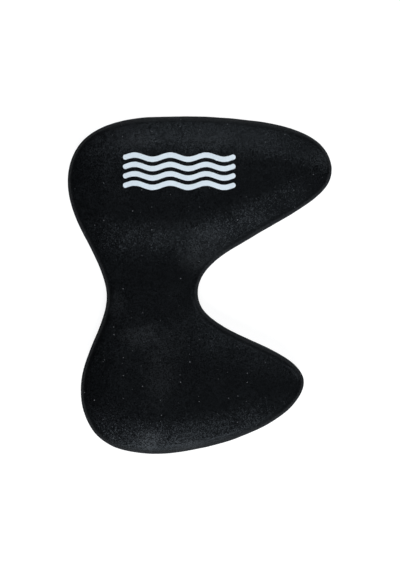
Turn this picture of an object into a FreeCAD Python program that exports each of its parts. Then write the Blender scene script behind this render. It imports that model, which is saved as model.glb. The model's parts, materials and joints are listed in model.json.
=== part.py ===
import FreeCAD, Part
import math
import os

from FreeCAD import Vector

# Pull buoy and kickboard in one: a contoured board of closed-cell EVA foam, lying on its flat back.
# Three foam sheets are glued into a blank, and the blank is then routed to the outline and the
# crowned face, so every sheet and every glue film is a slice of the same shaped body.
#
# Row frame, millimetres: +Z is up, out of the printed face; +Y runs along the board towards the wide
# lobe; +X points the way the two horns point. The origin is under the middle of the board's box, on
# the plane that the board lies on.

# ---------------------------------------------------------------- driving dimensions
LENGTH = 320.0                  # along Y, over both lobes
WIDTH = 251.0                   # along X, from the wide lobe's rear to its horn
SHEET = 13.2                    # one foam sheet
GLUE = 0.2                      # one film of contact adhesive
SHEETS = 3
THICKNESS = SHEETS * SHEET + (SHEETS - 1) * GLUE

FACE_ROUND = 9.0                # radius rolled onto the rim of the printed face
BACK_ROUND = 7.0                # radius rolled onto the rim of the flat back

NECK_Y = -8.0                   # the narrowest place, where the thighs grip
NECK_DROP = 6.5                 # how far the face dips there
WIDE_SPREAD = 60.0              # how far the dip reaches along Y towards the wide lobe
WIDE_POWER = 4                  # and how suddenly it ends on that side
NARROW_SPREAD = 74.0            # the same towards the narrow lobe
NARROW_POWER = 2
OPENING_X = -20.0               # from here on the dip widens towards the notch's mouth
OPENING = 0.3                   # by this much per unit of X
TIP_X = 20.0                    # the horns start to thin here
TIP_LENGTH = 106.0              # from there to the further tip
TIP_DROP = 3.0                  # how much thinner the further tip is
SHOULDER_WIDTH = 34.0           # the face slopes down over this width inside the rim
SHOULDER_POWER = 1.5
NARROW_SHOULDER = 3.5           # how far down it is at the rim, on the narrow lobe and the neck
WIDE_SHOULDER = 6.5             # and on the wide lobe
SHOULDER_Y = (5.0, 65.0)        # it goes over from the one to the other between these places

INK = 0.2                       # the printed mark's transfer film
MARK_CENTRE = (-19.5, 107.0)
MARK_LENGTH = 101.0
WAVES = 4                       # stripes in the mark, one above another
WAVE_PITCH = 8.8                # from one stripe to the next, along Y
WAVE_BAND = 5.0                 # a stripe's width
WAVE_RISE = 2.0                 # from a stripe's middle line to its crest
WAVE_PERIODS = 3

GRID = 8.0                      # spacing of the points that the crowned face passes through
MARGIN = 16.0                   # how far the crowned face is carried past the board's box
RIM_SAMPLES = 800               # points on the outline that distances are measured from
REACH = 60.0                    # taller than the board, for tools that pass right through it

# The outline seen from above, counter-clockwise, as the control points of one smooth closed curve.
# The curve bends towards each point without reaching it, and is then fitted to LENGTH and WIDTH.
OUTLINE = [
    # the wide lobe's horn, inner side, tip and outer side
    (115, 84), (131, 108), (116, 141),
    # its far edge, rear shoulder and rear
    (62, 157), (-8, 161), (-71, 160), (-118, 142), (-132, 93),
    # the rear waist, with a flank on each side
    (-110, 44), (-81, -9), (-103, -54),
    # the narrow lobe's rear, shoulder and near edge
    (-120, -101), (-100, -153), (-42, -164), (28, -150),
    # its horn, outer side, tip and inner side
    (85, -124), (108, -87), (74, -63),
    # the notch: one flank, both sides of its throat, and the other flank
    (37, -48), (-5, -25), (-3, 13), (38, 40), (83, 65),
]


# ---------------------------------------------------------------- outline
def smooth_loop(points):
    """A closed cubic curve on the base plane, with those control points."""
    curve = Part.BSplineCurve()
    curve.buildFromPoles([Vector(x, y, 0) for x, y in points], True, 3)
    return curve


def outline_curve():
    """The outline, centred on the origin, as long and as wide as the board."""
    rim = outline_samples(smooth_loop(OUTLINE))
    low_x, high_x = min(p.x for p in rim), max(p.x for p in rim)
    low_y, high_y = min(p.y for p in rim), max(p.y for p in rim)
    fit_x = WIDTH / (high_x - low_x)
    fit_y = LENGTH / (high_y - low_y)
    middle_x = (low_x + high_x) / 2
    middle_y = (low_y + high_y) / 2
    return smooth_loop([((x - middle_x) * fit_x, (y - middle_y) * fit_y) for x, y in OUTLINE])


def outline_samples(curve):
    """Points spaced evenly in parameter along the outline."""
    first, last = curve.FirstParameter, curve.LastParameter
    step = (last - first) / RIM_SAMPLES
    return [curve.value(first + i * step) for i in range(RIM_SAMPLES)]


def signed_distance(x, y, rim):
    """Distance to the outline, positive inside it and negative outside."""
    nearest = min((x - p.x) ** 2 + (y - p.y) ** 2 for p in rim)
    inside = False
    for a, b in zip(rim, rim[1:] + rim[:1]):
        if (a.y > y) != (b.y > y) and x < a.x + (y - a.y) * (b.x - a.x) / (b.y - a.y):
            inside = not inside
    return math.sqrt(nearest) if inside else -math.sqrt(nearest)


# ---------------------------------------------------------------- crowned face
def neck_dip(x, y):
    """How far the face dips towards the neck: steeply from the wide lobe, gently from the other."""
    spread, power = (WIDE_SPREAD, WIDE_POWER) if y > NECK_Y else (NARROW_SPREAD, NARROW_POWER)
    spread += OPENING * max(0.0, x - OPENING_X)
    return NECK_DROP * math.exp(-(abs(y - NECK_Y) / spread) ** power)


def shoulder(y, distance):
    """How far the face slopes down towards the rim, at a place that far inside the outline."""
    start, end = SHOULDER_Y
    share = min(1.0, max(0.0, (y - start) / (end - start)))
    share = share * share * (3.0 - 2.0 * share)
    drop = NARROW_SHOULDER + share * (WIDE_SHOULDER - NARROW_SHOULDER)
    return drop * max(0.0, 1.0 - distance / SHOULDER_WIDTH) ** SHOULDER_POWER


def face_height(x, y, distance):
    """Height of the printed face above the back, at a place that far inside the outline."""
    tip = TIP_DROP * max(0.0, (x - TIP_X) / TIP_LENGTH) ** 2
    return THICKNESS - neck_dip(x, y) - tip - shoulder(y, distance)


def face_surface(rim):
    """The crowned face as one smooth surface, carried past the outline on every side."""
    low_x = -WIDTH / 2 - MARGIN
    low_y = -LENGTH / 2 - MARGIN
    columns = math.ceil((WIDTH + 2 * MARGIN) / GRID) + 1
    rows = math.ceil((LENGTH + 2 * MARGIN) / GRID) + 1
    grid = []
    for i in range(columns):
        x = low_x + i * GRID
        heights = []
        for j in range(rows):
            y = low_y + j * GRID
            heights.append(Vector(x, y, face_height(x, y, signed_distance(x, y, rim))))
        grid.append(heights)
    surface = Part.BSplineSurface()
    surface.interpolate(grid)
    return surface


# ---------------------------------------------------------------- the shaped body
def rim_edges(body, low, high):
    """The edges whose whole length lies between two heights."""
    return [e for e in body.Edges if low <= e.BoundBox.ZMin and e.BoundBox.ZMax <= high]


def shaped_body(curve, above_face):
    """The whole board as one solid: outline, crowned face and both rolled rims."""
    base = Part.Face(Part.Wire([curve.toShape()]))
    blank = base.extrude(Vector(0, 0, REACH)).cut(above_face)
    body = blank.Solids[0]
    rolled = body.makeFillet(BACK_ROUND, rim_edges(body, -0.01, 0.01))
    rolled = rolled.makeFillet(FACE_ROUND, rim_edges(rolled, THICKNESS / 2, REACH))
    return rolled


def slice_between(body, low, high):
    """The part of the body between two heights."""
    slab = Part.makeBox(
        WIDTH + 2 * MARGIN,
        LENGTH + 2 * MARGIN,
        high - low,
        Vector(-WIDTH / 2 - MARGIN, -LENGTH / 2 - MARGIN, low),
    )
    return body.common(slab)


# ---------------------------------------------------------------- printed mark
def wave_stripe(row):
    """One wavy stripe of the mark as a tall prism, its two long sides the same wave."""
    middle_x, middle_y = MARK_CENTRE
    base_y = middle_y + (row - (WAVES - 1) / 2) * WAVE_PITCH
    steps = WAVE_PERIODS * 8
    sides = []
    for offset in (-WAVE_BAND / 2, WAVE_BAND / 2):
        points = []
        for i in range(steps + 1):
            share = i / steps
            x = middle_x + (share - 0.5) * MARK_LENGTH
            y = base_y + offset + WAVE_RISE * math.sin(2 * math.pi * WAVE_PERIODS * share)
            points.append(Vector(x, y, THICKNESS / 2))
        side = Part.BSplineCurve()
        side.interpolate(points)
        sides.append((side.toShape(), points))
    (lower, lower_points), (upper, upper_points) = sides
    ends = []
    for low, high, way in (
        (lower_points[-1], upper_points[-1], 1),
        (lower_points[0], upper_points[0], -1),
    ):
        cap = (low + high) * 0.5 + Vector(way * WAVE_BAND / 2, 0, 0)
        ends.append(Part.Arc(low, cap, high).toShape())
    outline = Part.Wire(Part.__sortEdges__([lower, ends[0], upper, ends[1]]))
    return Part.Face(outline).extrude(Vector(0, 0, REACH))


def printed_mark(above_face):
    """Four stripes of transfer film that lie on the crowned face."""
    above_film = above_face.translated(Vector(0, 0, INK))
    stripes = []
    for row in range(WAVES):
        film = wave_stripe(row).common(above_face).cut(above_film)
        stripes += film.Solids
    return Part.makeCompound(stripes)


# ---------------------------------------------------------------- build
def export(shape, node):
    """Writes one node and reports its size."""
    shape.exportStep(os.path.join("parts", node + ".step"))
    solids = len(shape.Solids)
    print(f"{node}: {solids} solid(s), valid {shape.isValid()}, {shape.Volume / 1000:.1f} cm3")


def build():
    """Makes every node of the board."""
    os.makedirs("parts", exist_ok=True)
    curve = outline_curve()
    rim = outline_samples(curve)
    above_face = face_surface(rim).toShape().extrude(Vector(0, 0, REACH))
    body = shaped_body(curve, above_face)
    pitch = SHEET + GLUE
    for number, node in enumerate(("back_foam_sheet", "core_foam_sheet", "face_foam_sheet")):
        low = number * pitch
        high = low + SHEET if number < SHEETS - 1 else REACH
        export(slice_between(body, low, high), node)
    for number, node in enumerate(("back_glue_film", "face_glue_film")):
        low = SHEET + number * pitch
        export(slice_between(body, low, low + GLUE), node)
    export(printed_mark(above_face), "printed_mark")
    print(f"board {WIDTH:.0f} x {LENGTH:.0f} x {THICKNESS:.0f} mm, {body.Volume / 1e6:.3f} litres")


build()
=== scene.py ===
import json
import math

import bpy
import numpy as np
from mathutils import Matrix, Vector
from mathutils.geometry import delaunay_2d_cdt


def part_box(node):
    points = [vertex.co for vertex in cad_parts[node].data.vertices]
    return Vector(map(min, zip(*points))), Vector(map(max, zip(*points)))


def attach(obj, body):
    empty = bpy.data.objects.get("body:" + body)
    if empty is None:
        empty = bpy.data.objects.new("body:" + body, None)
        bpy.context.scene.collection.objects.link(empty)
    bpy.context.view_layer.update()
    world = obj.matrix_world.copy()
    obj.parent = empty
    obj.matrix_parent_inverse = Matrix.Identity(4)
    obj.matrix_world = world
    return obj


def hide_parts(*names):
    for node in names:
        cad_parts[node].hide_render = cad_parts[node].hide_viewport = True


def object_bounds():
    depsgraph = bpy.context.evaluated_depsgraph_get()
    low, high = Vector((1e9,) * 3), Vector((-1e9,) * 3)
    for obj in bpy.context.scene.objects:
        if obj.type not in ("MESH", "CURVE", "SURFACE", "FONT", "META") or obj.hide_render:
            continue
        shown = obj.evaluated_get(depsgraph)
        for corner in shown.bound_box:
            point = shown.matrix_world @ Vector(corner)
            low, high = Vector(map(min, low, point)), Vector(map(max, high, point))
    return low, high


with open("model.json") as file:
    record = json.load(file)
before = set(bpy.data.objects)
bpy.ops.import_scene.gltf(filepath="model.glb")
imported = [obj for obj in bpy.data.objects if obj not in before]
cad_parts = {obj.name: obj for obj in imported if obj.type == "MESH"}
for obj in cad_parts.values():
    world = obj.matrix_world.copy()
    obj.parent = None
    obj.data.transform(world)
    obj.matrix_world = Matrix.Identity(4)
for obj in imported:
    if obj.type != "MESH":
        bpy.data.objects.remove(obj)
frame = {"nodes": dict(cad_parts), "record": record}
CAD_LOW, CAD_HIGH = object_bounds()

# The looks of a foam swim board. Its outline, its size and the heights of its sheets come from the
# frame. The crowned face and the rolled rims are worked out again here, by the same rules and the
# same named values as in the CAD source, because the frame's own facets would show in the sheen.
# Everything is in metres.
MM = 0.001

# ---------------------------------------------------------------- the board's shape, as in the CAD
FACE_ROUND = 9.0 * MM           # radius rolled onto the rim of the printed face
BACK_ROUND = 7.0 * MM           # radius rolled onto the rim of the flat back
NECK_Y = -8.0 * MM              # the narrowest place, where the thighs grip
NECK_DROP = 6.5 * MM            # how far the face dips there
WIDE_SPREAD = 60.0 * MM         # how far the dip reaches along Y towards the wide lobe
WIDE_POWER = 4                  # and how suddenly it ends on that side
NARROW_SPREAD = 74.0 * MM       # the same towards the narrow lobe
NARROW_POWER = 2
OPENING_X = -20.0 * MM          # from here on the dip widens towards the notch's mouth
OPENING = 0.3                   # by this much per unit of X
TIP_X = 20.0 * MM               # the horns start to thin here
TIP_LENGTH = 106.0 * MM         # from there to the further tip
TIP_DROP = 3.0 * MM             # how much thinner the further tip is
SHOULDER_WIDTH = 34.0 * MM      # the face slopes down over this width inside the rim
SHOULDER_POWER = 1.5
NARROW_SHOULDER = 3.5 * MM      # how far down it is at the rim, on the narrow lobe and the neck
WIDE_SHOULDER = 6.5 * MM        # and on the wide lobe
SHOULDER_Y = (5.0 * MM, 65.0 * MM)  # it goes over from the one to the other between these places

# The printed mark: stripes that follow a wave.
WAVES = 4
WAVE_PITCH = 8.8 * MM
WAVE_BAND = 5.0 * MM
WAVE_RISE = 2.0 * MM
WAVE_PERIODS = 3
INK = 0.2 * MM
FILM_SUNK = 0.02 * MM           # how far the film's edge reaches into the foam
EDGE_RAGGED = 0.035 * MM        # how uneven the print's edges are
NARROWEST = 0.04 * MM           # half width at the very tip of a stripe
STRIPE_STATIONS = 190           # rows of points along a stripe, between its round ends

# Points across a stripe, as shares of its half width, and the film's height there, as shares of INK.
STRIPE_ACROSS = [-1.0, -0.985, -0.9, -0.72, -0.48, -0.24, 0, 0.24, 0.48, 0.72, 0.9, 0.985, 1.0]
STRIPE_LIFT = [0.02, 0.8, 1, 1, 1, 1, 1, 1, 1, 1, 1, 0.8, 0.02]

# ---------------------------------------------------------------- how finely and how unevenly
RIM_STEP = 1.2 * MM             # between points along the rim
FACE_STEP = 1.3 * MM            # between points inside the face
BACK_STEP = 2.2 * MM            # between points inside the flat back
FIELD_STEP = 2.0 * MM           # grid on which the face's height is worked out
FIELD_MARGIN = 20.0 * MM
FIELD_BLUR = 4.5 * MM           # how far the hand that sanded the crown has blurred its creases
RIM_BAND = 12.0 * MM            # this much of the face beside the rim is laid in rows along the rim

GROOVE = 0.4 * MM               # how far the sheets' edges draw back beside a glue line
GROOVE_REACH = 0.45 * MM        # and how far from the glue line that fades
GROOVE_FADE = 4.0 * MM          # over this height it fades, where the rolled rim starts near the line
GROOVE_LEAST = 0.15             # to this share of its depth
EDGE_ROWS = [0.0, 0.15 * MM, 0.35 * MM, 0.65 * MM, 1.1 * MM]
GLUE_SET_BACK = 0.25 * MM       # the glue film ends a little inside the sheets
GLUE_BULGE = 0.05 * MM          # and bulges this much halfway up
GLUE_RAGGED = 0.1 * MM
WALL_ROWS = 10                  # rows of points up a sheet's side, between its glued edges
BACK_RIM_ROWS = 10              # round the back's rim
FACE_RIM_ROWS = 15              # up the face sheet's side and round its rim
CUT_ENDS = math.radians(50)     # the rim is moulded skin where it has turned this far from upright
CUT_FADE = math.radians(20)     # and cut foam where it has turned this much less

FACE_UNEVEN = 0.13 * MM         # root mean square of the face's slow unevenness
FACE_FINE = 0.012 * MM          # and of its fine unevenness
SIDE_UNEVEN = 0.14 * MM         # the same on the sides, which are shaped by hand
SIDE_FINE = 0.02 * MM
BACK_UNEVEN = 0.05 * MM         # hollows in the flat back
RANDOM_WAVES = 36               # waves added up in every kind of unevenness
SEED = 41


# ---------------------------------------------------------------- smooth unevenness
def unevenness(points, shortest, longest, rise, seed):
    """A smooth random height for each 3D point: many slow waves in random directions, added up."""
    chance = np.random.default_rng(seed)
    total = np.zeros(len(points))
    power = 0.0
    for _ in range(RANDOM_WAVES):
        length = shortest * (longest / shortest) ** chance.random()
        way = chance.normal(size=3)
        way *= 2 * math.pi / (length * np.linalg.norm(way))
        share = length / longest
        total += share * np.sin(points @ way + chance.random() * 2 * math.pi)
        power += share ** 2 / 2
    return rise * total / math.sqrt(power)


# ---------------------------------------------------------------- outline
def wall_foot(node):
    """The loop along the foot of a node's upright wall, counter-clockwise, as XY points in order."""
    mesh = frame["nodes"][node].data
    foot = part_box(node)[0].z
    tolerance = 0.01 * MM
    follows = {}
    place = {}
    for face in mesh.polygons:
        corners = [mesh.vertices[i].co for i in face.vertices]
        low = [abs(c.z - foot) < tolerance for c in corners]
        if sum(low) != 2:
            continue
        for i in range(3):
            if low[i] and low[(i + 1) % 3]:
                here, there = corners[i], corners[(i + 1) % 3]
                keys = [(round(c.x / MM, 2), round(c.y / MM, 2)) for c in (here, there)]
                follows[keys[0]] = keys[1]
                place[keys[0]] = (here.x, here.y)
    start = min(follows)
    loop = [place[start]]
    key = follows[start]
    while key != start:
        loop.append(place[key])
        key = follows[key]
    return np.array(loop)


def even_loop(points, step):
    """A smooth closed curve through the points, as points evenly spaced along it."""
    count = len(points)
    gaps = np.linalg.norm(np.roll(points, -1, 0) - points, axis=1)
    knots = np.concatenate([[0.0], np.cumsum(gaps)])
    # Cubic spline with equal slope and curvature on both sides of every point.
    matrix = np.zeros((count, count))
    right = np.zeros((count, 2))
    for i in range(count):
        before, after = gaps[i - 1], gaps[i]
        matrix[i, i - 1] = after
        matrix[i, i] = 2 * (before + after)
        matrix[i, (i + 1) % count] = before
        rise_before = (points[i] - points[i - 1]) / before
        rise_after = (points[(i + 1) % count] - points[i]) / after
        right[i] = 3 * (after * rise_before + before * rise_after)
    slope = np.linalg.solve(matrix, right)

    def at(length):
        i = np.clip(np.searchsorted(knots, length, side="right") - 1, 0, count - 1)
        j = (i + 1) % count
        gap = gaps[i][:, None]
        t = ((length - knots[i]) / gaps[i])[:, None]
        near = (1 + 2 * t) * (1 - t) ** 2 * points[i] + t ** 2 * (3 - 2 * t) * points[j]
        return near + gap * t * (1 - t) * ((1 - t) * slope[i] - t * slope[j])

    samples = 20 * count
    fine = at(np.linspace(0, knots[-1], samples, endpoint=False))
    run = np.concatenate([[0.0], np.cumsum(np.linalg.norm(np.roll(fine, -1, 0) - fine, axis=1))])
    steps = round(run[-1] / step)
    spots = np.arange(steps) * run[-1] / steps
    length = np.interp(spots, run, np.linspace(0, knots[-1], samples + 1))
    return at(length)


def outward_of(ring):
    """The direction straight out of a counter-clockwise ring, at each of its points."""
    along = np.roll(ring, -1, 0) - np.roll(ring, 1, 0)
    out = np.stack([along[:, 1], -along[:, 0]], 1)
    return out / np.linalg.norm(out, axis=1)[:, None]


def inset_of(points, ring, outward):
    """How far inside the ring each XY point lies; negative outside."""
    result = np.empty(len(points))
    chunk = 1500                # points worked on at once, to spare memory
    for start in range(0, len(points), chunk):
        part = points[start:start + chunk]
        gap = part[:, None, :] - ring[None, :, :]
        nearest = (gap ** 2).sum(2).argmin(1)
        result[start:start + chunk] = -((part - ring[nearest]) * outward[nearest]).sum(1)
    return result


# ---------------------------------------------------------------- the crowned face
class Face:
    """The printed face's height over the back at any place, blurred as hand sanding blurs it."""

    def __init__(self, ring, outward, top):
        self.low = ring.min(0) - FIELD_MARGIN
        span = ring.max(0) + FIELD_MARGIN - self.low
        self.counts = np.ceil(span / FIELD_STEP).astype(int) + 1
        xs = self.low[0] + FIELD_STEP * np.arange(self.counts[0])
        ys = self.low[1] + FIELD_STEP * np.arange(self.counts[1])
        grid = np.stack(np.meshgrid(xs, ys, indexing="ij"), -1).reshape(-1, 2)
        inset = inset_of(grid, ring, outward)
        height = top - self.drops(grid, inset)
        self.field = self.blurred(height.reshape(self.counts))

    @staticmethod
    def drops(places, inset):
        """How far below the highest place the face lies."""
        x, y = places[:, 0], places[:, 1]
        wide = y > NECK_Y
        spread = np.where(wide, WIDE_SPREAD, NARROW_SPREAD) + OPENING * np.maximum(0, x - OPENING_X)
        power = np.where(wide, WIDE_POWER, NARROW_POWER)
        neck = NECK_DROP * np.exp(-(np.abs(y - NECK_Y) / spread) ** power)
        tip = TIP_DROP * np.maximum(0, (x - TIP_X) / TIP_LENGTH) ** 2
        start, end = SHOULDER_Y
        share = np.clip((y - start) / (end - start), 0, 1)
        share = share * share * (3 - 2 * share)
        drop = NARROW_SHOULDER + share * (WIDE_SHOULDER - NARROW_SHOULDER)
        shoulder = drop * np.clip(1 - inset / SHOULDER_WIDTH, 0, None) ** SHOULDER_POWER
        return neck + tip + shoulder

    @staticmethod
    def blurred(field):
        reach = int(3 * FIELD_BLUR / FIELD_STEP)
        weights = np.exp(-0.5 * (np.arange(-reach, reach + 1) * FIELD_STEP / FIELD_BLUR) ** 2)
        weights /= weights.sum()
        for axis in (0, 1):
            padding = [(reach, reach) if a == axis else (0, 0) for a in (0, 1)]
            wide = np.pad(field, padding, mode="reflect", reflect_type="odd")
            length = field.shape[axis]
            parts = [w * np.take(wide, np.arange(i, i + length), axis) for i, w in enumerate(weights)]
            field = np.sum(parts, 0)
        return field

    def height(self, places):
        """The height at each XY place, by smooth interpolation on the grid."""
        spot = (places - self.low) / FIELD_STEP
        cell = np.clip(np.floor(spot).astype(int), 1, self.counts - 3)
        t = spot - cell
        weights = []
        for axis in (0, 1):
            u = t[:, axis]
            weights.append([
                -0.5 * u + u ** 2 - 0.5 * u ** 3,
                1 - 2.5 * u ** 2 + 1.5 * u ** 3,
                0.5 * u + 2 * u ** 2 - 1.5 * u ** 3,
                -0.5 * u ** 2 + 0.5 * u ** 3,
            ])
        total = np.zeros(len(places))
        for i in range(4):
            for j in range(4):
                sampled = self.field[cell[:, 0] + i - 1, cell[:, 1] + j - 1]
                total += weights[0][i] * weights[1][j] * sampled
        return total

    def surface(self, places):
        """The places in 3D on the face, with its slow unevenness."""
        points = np.column_stack([places, self.height(places)])
        points[:, 2] += face_unevenness(points)
        return points


def face_unevenness(points):
    """Height to add to points on the printed face."""
    flat = points * [1, 1, 0]
    slow = unevenness(flat, 22 * MM, 60 * MM, FACE_UNEVEN, SEED)
    fine = unevenness(flat, 5 * MM, 12 * MM, FACE_FINE, SEED + 1)
    return slow + fine


# ---------------------------------------------------------------- the rim's profile
class Rim:
    """The board's edge all the way round: upright wall, rolled face rim and rolled back rim."""

    def __init__(self, ring, outward, face, glue_line):
        self.ring = ring
        self.outward = outward
        self.glue_line = glue_line
        # The face is taken as a straight slope here, through its heights at these two places.
        near, far = 0.7 * FACE_ROUND, 1.1 * FACE_ROUND
        low = face.height(ring - outward * near)
        high = face.height(ring - outward * far)
        slope = (high - low) / (far - near)
        stretch = np.sqrt(1 + slope ** 2)
        self.centre = low - slope * near + slope * FACE_ROUND - FACE_ROUND * stretch
        self.last_angle = np.arccos(slope / stretch)

    def shifted(self, inset, height):
        """Points that far in from the outline, at those heights."""
        places = self.ring - self.outward * inset[:, None]
        return np.column_stack([places, height])

    def inset_at(self, height):
        """How far in from the outline the edge is at a height."""
        under = min(max(BACK_ROUND - height, 0), BACK_ROUND)
        over = np.clip(height - self.centre, 0, FACE_ROUND)
        back = BACK_ROUND - math.sqrt(BACK_ROUND ** 2 - under ** 2)
        return back + FACE_ROUND - np.sqrt(FACE_ROUND ** 2 - over ** 2)

    def roughened(self, points, amount=1.0):
        """Points on the edge, moved in or out by the unevenness of hand shaping."""
        slow = unevenness(points, 18 * MM, 55 * MM, SIDE_UNEVEN, SEED + 2)
        fine = unevenness(points, 3 * MM, 8 * MM, SIDE_FINE, SEED + 3)
        moved = points.copy()
        moved[:, :2] += self.outward * ((slow + fine) * amount)[:, None]
        return moved

    def groove(self, distance):
        """How far the edge draws back, that far from a glue line; hardly at all on the rolled rim."""
        upright = np.clip((self.centre - self.glue_line) / GROOVE_FADE + 0.5, GROOVE_LEAST, 1)
        return GROOVE * upright * math.exp(-distance / GROOVE_REACH)


# ---------------------------------------------------------------- meshes
def linked_piece(name, points, faces):
    """A new mesh object in the scene."""
    mesh = bpy.data.meshes.new(name)
    mesh.from_pydata(points, [], faces)
    mesh.update()
    piece = bpy.data.objects.new(name, mesh)
    bpy.context.scene.collection.objects.link(piece)
    return piece


def honeycomb(ring, outward, edge, step):
    """XY points evenly spread over the inside of the ring, at least edge inside it."""
    low, high = ring.min(0), ring.max(0)
    chance = np.random.default_rng(SEED + 4)
    rows = []
    for j, y in enumerate(np.arange(low[1], high[1], step * math.sqrt(3) / 2)):
        xs = np.arange(low[0] + (j % 2) * step / 2, high[0], step)
        rows.append(np.column_stack([xs, np.full(len(xs), y)]))
    points = np.concatenate(rows)
    points += chance.uniform(-0.08, 0.08, points.shape) * step
    return points[inset_of(points, ring, outward) > edge + 0.6 * step]


def filled(loop, inside):
    """Triangles, facing up, that fill a closed loop of XY points by way of the points inside it."""
    count = len(loop)
    points = [Vector(p) for p in np.concatenate([loop, inside]) / MM]
    edges = [(i, (i + 1) % count) for i in range(count)]
    made = delaunay_2d_cdt(points, edges, [], 1, 1e-6)
    origin = [sources[0] for sources in made[3]]
    return [tuple(origin[i] for i in face) for face in made[2]]


def closed_mesh(name, rows, top_inside, bottom_inside):
    """A closed solid from rings stacked from low to high, with filled ends."""
    count = len(rows[0])
    points = np.concatenate([*rows, top_inside, bottom_inside])
    faces = []
    for r in range(len(rows) - 1):
        low, high = r * count, (r + 1) * count
        for i in range(count):
            j = (i + 1) % count
            faces.append((low + i, low + j, high + j, high + i))

    def numbered(triangles, ring_first, inside_first):
        """The triangles with their points' numbers in the whole mesh."""
        shift = inside_first - count
        return [tuple(i + (ring_first if i < count else shift) for i in t) for t in triangles]

    rings_end = len(rows) * count
    top = filled(rows[-1][:, :2], top_inside[:, :2])
    faces += numbered(top, rings_end - count, rings_end)
    bottom = filled(rows[0][:, :2], bottom_inside[:, :2])
    faces += [t[::-1] for t in numbered(bottom, 0, rings_end + len(top_inside))]
    return linked_piece(name, [tuple(p) for p in points], faces)


def smoothed(piece, sharpest):
    """Shades a piece smooth, apart from edges that turn by more than that many degrees."""
    piece.data.polygons.foreach_set("use_smooth", [True] * len(piece.data.polygons))
    piece.data.set_sharp_from_angle(angle=math.radians(sharpest))


def cut_share(turned):
    """How cut the foam is, where the rim has turned that far from upright: 1 is sawn, 0 is skin."""
    return np.clip((CUT_ENDS - turned) / CUT_FADE, 0, 1)


def mark_cut(piece, values):
    """Stores how far each point is from moulded skin (0) to cut and buffed foam (1)."""
    attribute = piece.data.attributes.new("cut", "FLOAT", "POINT")
    attribute.data.foreach_set("value", np.asarray(values, np.float32))


NOTHING = np.zeros((0, 3))


# ---------------------------------------------------------------- foam sheets
def side_rows(rim, low, high, low_glued, high_glued):
    """Rings up the edge of a sheet between two heights, drawn back beside each glue line."""
    from_low = EDGE_ROWS if low_glued else [0.0]
    from_high = EDGE_ROWS if high_glued else [0.0]
    middle = np.linspace(low + from_low[-1], high - from_high[-1], WALL_ROWS + 2)[1:-1]
    heights = [low + d for d in from_low] + list(middle) + [high - d for d in reversed(from_high)]
    rows = []
    for height in heights:
        inset = rim.inset_at(height)
        if low_glued:
            inset = inset + rim.groove(height - low)
        if high_glued:
            inset = inset + rim.groove(high - height)
        rows.append(rim.roughened(rim.shifted(inset, np.full(len(inset), height))))
    return rows


def core_sheet(rim):
    """The middle sheet: only its edge shows."""
    low, high = levels("core_foam_sheet")
    rows = side_rows(rim, low, high, True, True)
    piece = closed_mesh("core_foam", rows, NOTHING, NOTHING)
    mark_cut(piece, np.ones(len(piece.data.vertices)))
    smoothed(piece, 50)
    return piece


def back_sheet(rim):
    """The lower sheet, with its rolled rim and the flat back."""
    low, high = levels("back_foam_sheet")
    rows = []
    cut = []
    inner = RIM_BAND
    for share in np.linspace(0, 1, 6)[:-1]:
        inset = inner + (BACK_ROUND - inner) * share
        ring = rim.shifted(np.full(len(rim.ring), inset), np.full(len(rim.ring), low))
        rows.append(ring)
        cut.append(0.0)
    for angle in np.linspace(0, math.pi / 2, BACK_RIM_ROWS):
        inset = BACK_ROUND * (1 - math.sin(angle))
        height = low + BACK_ROUND * (1 - math.cos(angle))
        ring = rim.shifted(np.full(len(rim.ring), inset), np.full(len(rim.ring), height))
        rows.append(rim.roughened(ring, math.sin(angle)))
        cut.append(cut_share(math.pi / 2 - angle))
    upper = [r for r in side_rows(rim, low, high, False, True) if r[0, 2] > BACK_ROUND + 0.5 * MM]
    rows += upper
    cut += [1.0] * len(upper)
    flat = honeycomb(rim.ring, rim.outward, inner, BACK_STEP)
    bottom = np.column_stack([flat, np.full(len(flat), low)])
    bottom[:, 2] += np.maximum(0, unevenness(bottom, 12 * MM, 40 * MM, BACK_UNEVEN, SEED + 5))
    piece = closed_mesh("back_foam", rows, NOTHING, bottom)
    count = len(rim.ring)
    mark_cut(piece, np.concatenate([np.repeat(cut, count), np.zeros(len(bottom))]))
    smoothed(piece, 50)
    return piece


def face_sheet(rim, face):
    """The upper sheet: edge, rolled rim and the crowned face."""
    low = levels("face_foam_sheet")[0]
    wall = np.maximum(0, rim.centre - low)
    first_angle = np.arcsin(np.clip((low - rim.centre) / FACE_ROUND, 0, 1))
    length = wall + FACE_ROUND * (rim.last_angle - first_angle)
    rows = []
    cut = []
    shares = np.linspace(0, 1, FACE_RIM_ROWS + 1)[1:]
    runs = [np.full(len(wall), d) for d in EDGE_ROWS]
    runs += [EDGE_ROWS[-1] + (length - EDGE_ROWS[-1]) * share for share in shares]
    for run in runs:
        angle = first_angle + np.maximum(0, run - wall) / FACE_ROUND
        on_wall = run < wall
        height = np.where(on_wall, low + run, rim.centre + FACE_ROUND * np.sin(angle))
        inset = np.where(on_wall, 0.0, FACE_ROUND * (1 - np.cos(angle)))
        inset = inset + rim.groove(run[0]) * (run[0] <= EDGE_ROWS[-1])
        turned = np.where(on_wall, 0.0, np.sin(angle))
        ring = rim.shifted(inset, height)
        ring[:, 2] += face_unevenness(ring) * turned ** 2
        rows.append(rim.roughened(ring, 1 - turned))
        cut.append(cut_share(angle))
    reach = FACE_ROUND * (1 - np.cos(rim.last_angle))
    for share in np.linspace(0, 1, 5)[1:]:
        inset = reach + (RIM_BAND - reach) * share
        rows.append(face.surface(rim.ring - rim.outward * inset[:, None]))
        cut.append(np.zeros(len(wall)))
    inside = face.surface(honeycomb(rim.ring, rim.outward, RIM_BAND, FACE_STEP))
    piece = closed_mesh("face_foam", rows, inside, NOTHING)
    mark_cut(piece, np.concatenate([*cut, np.zeros(len(inside))]))
    smoothed(piece, 50)
    return piece


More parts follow.
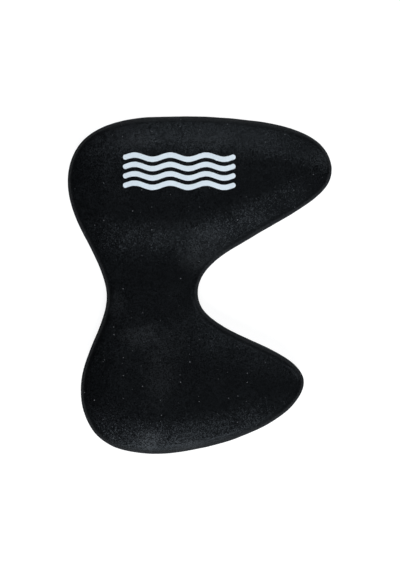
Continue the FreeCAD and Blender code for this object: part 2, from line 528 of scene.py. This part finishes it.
def glue_film(rim, node, name):
    """A film of adhesive, squeezed unevenly towards the sheets' edges."""
    low, high = levels(node)
    rows = []
    for share, bulge in ((0.0, 0.0), (0.3, GLUE_BULGE), (0.7, GLUE_BULGE), (1.0, 0.0)):
        height = low + (high - low) * share
        inset = rim.inset_at(height) + GLUE_SET_BACK - bulge
        ring = rim.roughened(rim.shifted(inset, np.full(len(inset), height)))
        ragged = unevenness(ring * [1, 1, 0], 3 * MM, 14 * MM, GLUE_RAGGED, SEED + 6)
        ring[:, :2] -= rim.outward * np.clip(ragged, -0.15 * MM, 0.3 * MM)[:, None]
        rows.append(ring)
    piece = closed_mesh(name, rows, NOTHING, NOTHING)
    smoothed(piece, 50)
    return piece


def levels(node):
    """The lowest and highest height of a CAD node."""
    low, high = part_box(node)
    return low.z, high.z


# ---------------------------------------------------------------- printed mark
def stripe_stations(start, end):
    """Places along a stripe with its half width there, from one round end to the other."""
    half = WAVE_BAND / 2
    cap = [half * math.sin(a) for a in np.linspace(math.pi / 2, 0.06, 9)]
    rounded = [(x, math.sqrt(max(0.0, half ** 2 - x ** 2))) for x in cap]
    stations = [(start - x, reach) for x, reach in rounded]
    stations += [(x, half) for x in np.linspace(start, end, STRIPE_STATIONS)]
    stations += [(end + x, reach) for x, reach in reversed(rounded)]
    return [(x, max(reach, NARROWEST)) for x, reach in stations]


def stripe_rows(face, row, low, high):
    """One stripe's upper side: rows of points across the band, one for each station."""
    middle_y = (low.y + high.y) / 2 + (row - (WAVES - 1) / 2) * WAVE_PITCH
    start, end = low.x + WAVE_BAND / 2, high.x - WAVE_BAND / 2
    lift = INK * np.array(STRIPE_LIFT)
    across = np.array(STRIPE_ACROSS)
    rows = []
    for x, reach in stripe_stations(start, end):
        turns = 2 * math.pi * WAVE_PERIODS * (np.clip(x, start, end) - start) / (end - start)
        ys = middle_y + WAVE_RISE * math.sin(turns) + across * reach
        xs = np.full(len(ys), x)
        ragged = unevenness(np.column_stack([xs, ys, 0 * xs]), 1.0 * MM, 4 * MM, EDGE_RAGGED, SEED + 7)
        ys = ys + ragged * across ** 8
        points = face.surface(np.column_stack([xs, ys]))
        points[:, 2] += lift
        rows.append(points)
    return rows


def stripe_faces(first, under, stations):
    """Faces of one closed stripe: its upper side, two edges, underside and two ends."""
    width = len(STRIPE_ACROSS)
    last = stations - 1
    faces = []
    for r in range(last):
        for c in range(width - 1):
            a = first + r * width + c
            faces.append((a, a + width, a + width + 1, a + 1))
        a, b = first + r * width, under + 2 * r
        faces.append((a, b, b + 2, a + width))
        faces.append((a + width - 1, a + 2 * width - 1, b + 3, b + 1))
        faces.append((b, b + 1, b + 3, b + 2))
    head = [first + c for c in range(width)]
    tail = [first + last * width + c for c in reversed(range(width))]
    faces.append(tuple(head + [under + 1, under]))
    faces.append(tuple(tail + [under + 2 * last, under + 2 * last + 1]))
    return faces


def printed_mark(face):
    """The stripes as one piece, each a closed film on the face."""
    low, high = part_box("printed_mark")
    points = []
    faces = []
    for row in range(WAVES):
        rows = stripe_rows(face, row, low, high)
        first = len(points)
        for line in rows:
            points += [tuple(p) for p in line]
        under = len(points)
        for line in rows:
            points += [(x, y, z - FILM_SUNK) for x, y, z in line[[0, -1]]]
        faces += stripe_faces(first, under, len(rows))
    piece = linked_piece("mark_stripes", points, faces)
    smoothed(piece, 35)
    return piece


# ---------------------------------------------------------------- materials
SKIN_CELL = 0.75 * MM           # one cell of the moulded skin
OPEN_CELL = 0.75 * MM           # one cell where the foam is cut
CELL_TILT = 0.25                # how far the skin's cells lean apart
FOAM_RELIEF = 0.08 * MM         # how deep the grain is
FOAM_ROUGH = 0.3                # the moulded skin
CUT_ROUGH = 0.92                # cut foam
FOAM_SPECULAR = 0.078           # foam reflects only weakly: most light is lost between its cells
FOAM_SHEEN = (0.8, 0.9, 1.0, 1.0)   # and a little bluish
GLOSS_CHANGE = 0.03             # how much roughness changes from patch to patch
CLOUDS = 26 * MM                # slow changes of tone over the skin
PATCHES = 6 * MM                # smaller patches, glossier or duller
GRAIN = 2.2 * MM                # the skin's relief
PATCH_EDGE_CLOUDS = 11 * MM           # what makes the edges of the haze, painted sheen and painted shade patches cloudy
# the colour the patches lighten towards: partly chalky haze, partly painted sheen
HAZE_AND_SHEEN_COLOUR = (0.025, 0.027, 0.0295, 1.0)
DUST_COLOUR = (0.30, 0.31, 0.33, 1.0)
SPECK_SPACING = 9 * MM
SPECK_SIZE = 0.055              # the largest speck's radius, as a share of their spacing
SPECK_RARITY = 0.7              # share of places that have no speck
PINHOLE_COLOUR = (0.05, 0.053, 0.056, 1.0)

# Patches on the printed face, partly chalky haze and partly painted sheen laid where the sheen bands
# fall:
# middle X and Y, reach along X and Y, and strength. Those below zero are painted shade, blacker than the
# rest.
HAZE_SHEEN_AND_SHADE = [
    (-100 * MM, -82 * MM, 24 * MM, 36 * MM, -0.45),
    (-44 * MM, 6 * MM, 34 * MM, 16 * MM, -0.2),
    (-58 * MM, -47 * MM, 18 * MM, 12 * MM, 0.34),
    (-40 * MM, -52 * MM, 26 * MM, 16 * MM, 0.22),
    (-38 * MM, -88 * MM, 15 * MM, 30 * MM, 0.26),
    (-78 * MM, -18 * MM, 8 * MM, 14 * MM, 0.26),
    (-58 * MM, 137 * MM, 18 * MM, 8 * MM, 0.3),
    (4 * MM, 137 * MM, 28 * MM, 8 * MM, 0.22),
    (-48 * MM, -147 * MM, 14 * MM, 9 * MM, 0.9),
    (-12 * MM, -150 * MM, 16 * MM, 8 * MM, 0.45),
    (8 * MM, 34 * MM, 22 * MM, 16 * MM, 0.36),
    (-8 * MM, 24 * MM, 14 * MM, 14 * MM, 0.3),
    (-22 * MM, 50 * MM, 44 * MM, 14 * MM, 0.14),
]


class Nodes:
    """A short way to write a material's node tree."""

    def __init__(self, name):
        self.material = bpy.data.materials.new(name)
        self.material.use_nodes = True
        self.tree = self.material.node_tree
        self.shader = self.tree.nodes["Principled BSDF"]
        self.place = self.add("ShaderNodeTexCoord").outputs["Object"]

    def add(self, kind, inputs=None, **settings):
        node = self.tree.nodes.new(kind)
        for key, value in settings.items():
            setattr(node, key, value)
        for key, value in (inputs or {}).items():
            if isinstance(value, bpy.types.NodeSocket):
                self.tree.links.new(value, node.inputs[key])
            else:
                node.inputs[key].default_value = value
        return node

    def link(self, source, target):
        self.tree.links.new(source, self.shader.inputs[target])

    def noise(self, size, detail=3.0, rough=0.5):
        """Cloudy noise whose patches are about that many metres across, from 0 to 1."""
        inputs = {"Vector": self.place, "Scale": 1 / size, "Detail": detail, "Roughness": rough}
        return self.add("ShaderNodeTexNoise", inputs).outputs["Fac"]

    def ramp(self, value, low, high, to_low, to_high):
        """Takes values from low..high to to_low..to_high, and holds them at the ends."""
        inputs = {"Value": value, "From Min": low, "From Max": high, "To Min": to_low, "To Max": to_high}
        return self.add("ShaderNodeMapRange", inputs).outputs["Result"]

    def maths(self, operation, a, b):
        return self.add("ShaderNodeMath", {0: a, 1: b}, operation=operation).outputs[0]

    def mix(self, share, a, b):
        """Colour a, going over to colour b."""
        return self.add("ShaderNodeMix", {0: share, 6: a, 7: b}, data_type="RGBA").outputs[2]

    def blend(self, share, a, b):
        """Number a, going over to number b."""
        return self.add("ShaderNodeMix", {0: share, 2: a, 3: b}, data_type="FLOAT").outputs[0]

    def vector(self, operation, inputs, output=0):
        return self.add("ShaderNodeVectorMath", inputs, operation=operation).outputs[output]

    def random(self, cells, channel):
        """A random number from 0 to 1 for each cell of a Voronoi node."""
        return self.add("ShaderNodeSeparateColor", {"Color": cells.outputs["Color"]}).outputs[channel]

    def bump(self, height, distance, strength):
        inputs = {"Height": height, "Distance": distance, "Strength": strength}
        return self.add("ShaderNodeBump", inputs).outputs["Normal"]


def slot_colour(slot):
    """A material slot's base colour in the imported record."""
    found = next(m for m in frame["record"]["materials"] if m["slot"] == slot)
    return tuple(found["base_color"][:3]) + (1.0,)


def tinted(colour, share):
    """A colour made darker or lighter by a factor."""
    return tuple(share * c for c in colour[:3]) + (1.0,)


def haze_sheen_and_shade(n):
    """Soft patches with cloudy edges on the skin: chalky haze and painted sheen where positive, painted
    shade where negative.
    """
    clouds = n.noise(PATCH_EDGE_CLOUDS, 5.0, 0.65)
    total = 0.0
    for x, y, reach_x, reach_y, strength in HAZE_SHEEN_AND_SHADE:
        offset = n.vector("SUBTRACT", {0: n.place, 1: (x, y, 0)})
        scaled = n.vector("MULTIPLY", {0: offset, 1: (1 / reach_x, 1 / reach_y, 0)})
        away = n.vector("LENGTH", {0: scaled}, "Value")
        away = n.maths("ADD", away, n.ramp(clouds, 0.3, 0.7, 0.45, -0.45))
        total = n.maths("ADD", total, n.ramp(away, 0.4, 1.3, strength, 0.0))
    return total


def skin_colour(n, base, clouds, skin_cells, sheen_shade_and_haze):
    """Moulded skin: slow clouds, haze with painted sheen, and painted shade, in cells of different
    tones.
    """
    darkest = tinted(base, 0.1)
    clouded = n.mix(n.ramp(clouds, 0.35, 0.7, 0.0, 1.0), tinted(base, 0.4), tinted(base, 0.75))
    # Positive patches lighten the skin (chalky haze and painted sheen); negative ones darken it towards
    # the darkest tone (painted shade).
    hazed_and_sheened = n.mix(sheen_shade_and_haze, clouded, HAZE_AND_SHEEN_COLOUR)
    with_painted_light = n.mix(n.ramp(sheen_shade_and_haze, -1.0, 0.0, 1.0, 0.0), hazed_and_sheened, darkest)
    return n.mix(n.ramp(n.random(skin_cells, "Red"), 0.0, 1.0, 0.0, 1.2), darkest, with_painted_light)


def dust(n, cut):
    """How much pale dust there is: far-apart specks of different sizes, on the skin only."""
    scale = 1 / SPECK_SPACING
    specks = n.add("ShaderNodeTexVoronoi", {"Vector": n.place, "Scale": scale}, voronoi_dimensions="2D")
    size = n.ramp(n.random(specks, "Red"), SPECK_RARITY, 1.0, 0.0, SPECK_SIZE)
    speck = n.maths("LESS_THAN", specks.outputs["Distance"], size)
    strength = n.ramp(n.random(specks, "Green"), 0.0, 1.0, 0.1, 0.5)
    return n.maths("MULTIPLY", n.maths("MULTIPLY", speck, strength), n.maths("SUBTRACT", 1.0, cut))


def foam_normal(n, cut, skin_cells, open_cells):
    """Grain on the skin, open cells where cut, and every skin cell tilted its own way."""
    grain = n.noise(GRAIN, 3.0, 0.7)
    bumped = n.bump(n.blend(cut, grain, open_cells), FOAM_RELIEF, 1.0)
    centred = n.vector("SUBTRACT", {0: skin_cells.outputs["Color"], 1: (0.5, 0.5, 0.5)})
    tilt = n.vector("SCALE", {0: centred, "Scale": CELL_TILT})
    return n.vector("NORMALIZE", {0: n.vector("ADD", {0: bumped, 1: tilt})})


def foam_material(name, slot):
    """Black closed-cell foam: a fine-grained moulded skin, and coarser open cells where it is cut."""
    n = Nodes(name)
    base = slot_colour(slot)
    cut = n.add("ShaderNodeAttribute", attribute_name="cut").outputs["Fac"]
    clouds = n.noise(CLOUDS, 4.0, 0.6)
    patches = n.noise(PATCHES, 3.0, 0.55)
    skin_cells = n.add("ShaderNodeTexVoronoi", {"Vector": n.place, "Scale": 1 / SKIN_CELL})
    open_inputs = {"Vector": n.place, "Scale": 1 / OPEN_CELL}
    open_cells = n.add("ShaderNodeTexVoronoi", open_inputs, feature="SMOOTH_F1").outputs["Distance"]
    # painted sheen and painted shade, with some chalky haze, on the printed face only
    sheen_shade_and_haze = haze_sheen_and_shade(n) if slot == "face_foam" else 0.0

    skin = skin_colour(n, base, clouds, skin_cells, sheen_shade_and_haze)
    sawn = n.mix(n.ramp(open_cells, 0.2, 0.6, 0.0, 1.0), tinted(base, 1.6), tinted(base, 0.7))
    n.link(n.mix(dust(n, cut), n.mix(cut, skin, sawn), DUST_COLOUR), "Base Color")

    # Handled patches are a little glossier, cut foam is duller.
    cloud_gloss = n.ramp(clouds, 0.3, 0.7, GLOSS_CHANGE, -GLOSS_CHANGE)
    patch_gloss = n.ramp(patches, 0.3, 0.7, GLOSS_CHANGE, -GLOSS_CHANGE)
    gloss = n.maths("ADD", cloud_gloss, patch_gloss)
    n.link(n.maths("ADD", gloss, n.ramp(cut, 0.0, 1.0, FOAM_ROUGH, CUT_ROUGH)), "Roughness")
    n.shader.inputs["Specular IOR Level"].default_value = FOAM_SPECULAR
    n.shader.inputs["Specular Tint"].default_value = FOAM_SHEEN
    n.link(foam_normal(n, cut, skin_cells, open_cells), "Normal")
    return n.material


def glue_material():
    """Contact adhesive: a thin dark line, a little shinier than the foam."""
    n = Nodes("adhesive")
    base = slot_colour("adhesive")
    darker = tinted(base, 0.6)
    blotches = n.noise(5 * MM, 3.0)
    n.link(n.mix(n.ramp(blotches, 0.35, 0.65, 0.0, 1.0), base, darker), "Base Color")
    n.link(n.ramp(blotches, 0.3, 0.7, 0.35, 0.55), "Roughness")
    n.link(n.bump(n.noise(1.5 * MM), 0.05 * MM, 0.7), "Normal")
    return n.material


def ink_material():
    """Pale grey transfer print that carries the foam's grain, with tiny pinholes."""
    n = Nodes("print_film")
    base = slot_colour("print_film")
    greyer = tinted(base, 0.95)
    colour = n.mix(n.ramp(n.noise(9 * MM, 3.0), 0.35, 0.65, 0.0, 1.0), base, greyer)
    pinholes = n.ramp(n.noise(0.7 * MM, 2.0), 0.25, 0.31, 0.7, 0.0)
    n.link(n.mix(pinholes, colour, PINHOLE_COLOUR), "Base Color")
    n.link(n.ramp(n.noise(3 * MM, 3.0), 0.3, 0.7, 0.42, 0.56), "Roughness")
    grain = n.noise(1.1 * MM, 2.0, 0.6)
    n.link(n.bump(grain, 0.06 * MM, 0.6), "Normal")
    return n.material


# ---------------------------------------------------------------- stage
CAMERA_LENS = 100.0             # millimetres, on a sensor 36 mm along the picture's long side
CAMERA_SENSOR = 36.0
VIEW_HEIGHT = 0.5431            # how much of the board's plane the picture's long side takes in

FLOOR_REACH = 12.0              # from the middle to each side
FLOOR_LEVEL = -0.2 * MM         # just under the board's back, so that the two never coincide
FLOOR_GLOW = 0.85

COOL = (0.95, 0.98, 1.0)
NEARLY_WHITE = (0.97, 0.99, 1.0)

# Soft boxes aimed at the middle of the board: name, place, width and height, watts and colour.
LIGHTS = [
    ("near_box", (0.03, -0.9, 1.26), (0.8, 0.3), 15, COOL),
    ("low_box", (-0.05, -1.4, 0.55), (1.3, 0.45), 15, COOL),
    ("far_box", (0.05, 0.76, 1.34), (0.7, 0.25), 7, COOL),
    ("far_low_box", (0.0, 1.4, 0.5), (1.3, 0.4), 5, COOL),
    ("right_box", (1.1, 0.5, 0.95), (0.5, 0.7), 6, NEARLY_WHITE),
]
ROOM_COLOUR = (0.95, 0.97, 1.0, 1.0)
ROOM_GLOW = 0.03


def pale_floor():
    """A plain white table, lit a little from within as a light table is."""
    signs = ((-1, -1), (1, -1), (1, 1), (-1, 1))
    corners = [(x * FLOOR_REACH, y * FLOOR_REACH, FLOOR_LEVEL) for x, y in signs]
    floor = linked_piece("floor", corners, [(0, 1, 2, 3)])
    n = Nodes("floor")
    n.shader.inputs["Base Color"].default_value = (0.3, 0.3, 0.303, 1.0)
    n.shader.inputs["Roughness"].default_value = 0.9
    n.shader.inputs["Specular IOR Level"].default_value = 0.0
    n.shader.inputs["Emission Color"].default_value = (1.0, 1.0, 1.0, 1.0)
    n.shader.inputs["Emission Strength"].default_value = FLOOR_GLOW
    floor.data.materials.append(n.material)


def soft_light(name, place, size, power, colour):
    """A large soft box aimed at the middle of the board."""
    light = bpy.data.lights.new(name, "AREA")
    light.shape = "RECTANGLE"
    light.size, light.size_y = size
    light.energy = power
    light.color = colour
    lamp = bpy.data.objects.new(name, light)
    lamp.location = place
    lamp.rotation_euler = (-Vector(place)).to_track_quat("-Z", "Y").to_euler()
    bpy.context.scene.collection.objects.link(lamp)


def room():
    """Dim surroundings."""
    world = bpy.data.worlds.new("studio")
    world.use_nodes = True
    background = world.node_tree.nodes["Background"]
    background.inputs["Color"].default_value = ROOM_COLOUR
    background.inputs["Strength"].default_value = ROOM_GLOW
    bpy.context.scene.world = world


def overhead_camera():
    """A camera that looks straight down on the printed face."""
    camera = bpy.data.objects.new("camera", bpy.data.cameras.new("camera"))
    camera.data.lens = CAMERA_LENS
    camera.data.sensor_width = CAMERA_SENSOR
    middle = (CAD_HIGH.z + CAD_LOW.z) / 2
    camera.location = (0, 0, middle + VIEW_HEIGHT * CAMERA_LENS / CAMERA_SENSOR)
    bpy.context.scene.collection.objects.link(camera)
    bpy.context.scene.camera = camera
    bpy.context.scene.view_settings.view_transform = "Standard"


# ---------------------------------------------------------------- build
def finish_piece(piece, material, node):
    """Gives a piece its material and its place in the model."""
    piece.data.materials.append(material)
    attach(piece, "root")
    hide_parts(node)


ring = even_loop(wall_foot("core_foam_sheet"), RIM_STEP)
outward = outward_of(ring)
core_low, core_high = levels("core_foam_sheet")
glue_line = levels("face_glue_film")[1]
board_top = glue_line + core_high - core_low
face = Face(ring, outward, board_top)
rim = Rim(ring, outward, face, glue_line)

foam_pieces = [
    (face_sheet(rim, face), "face_foam", "face_foam_sheet"),
    (core_sheet(rim), "core_foam", "core_foam_sheet"),
    (back_sheet(rim), "back_foam", "back_foam_sheet"),
]
for piece, slot, node in foam_pieces:
    finish_piece(piece, foam_material(slot, slot), node)

adhesive = glue_material()
for node, name in (("face_glue_film", "face_glue"), ("back_glue_film", "back_glue")):
    finish_piece(glue_film(rim, node, name), adhesive, node)

finish_piece(printed_mark(face), ink_material(), "printed_mark")
pale_floor()
for light in LIGHTS:
    soft_light(*light)
room()
overhead_camera()
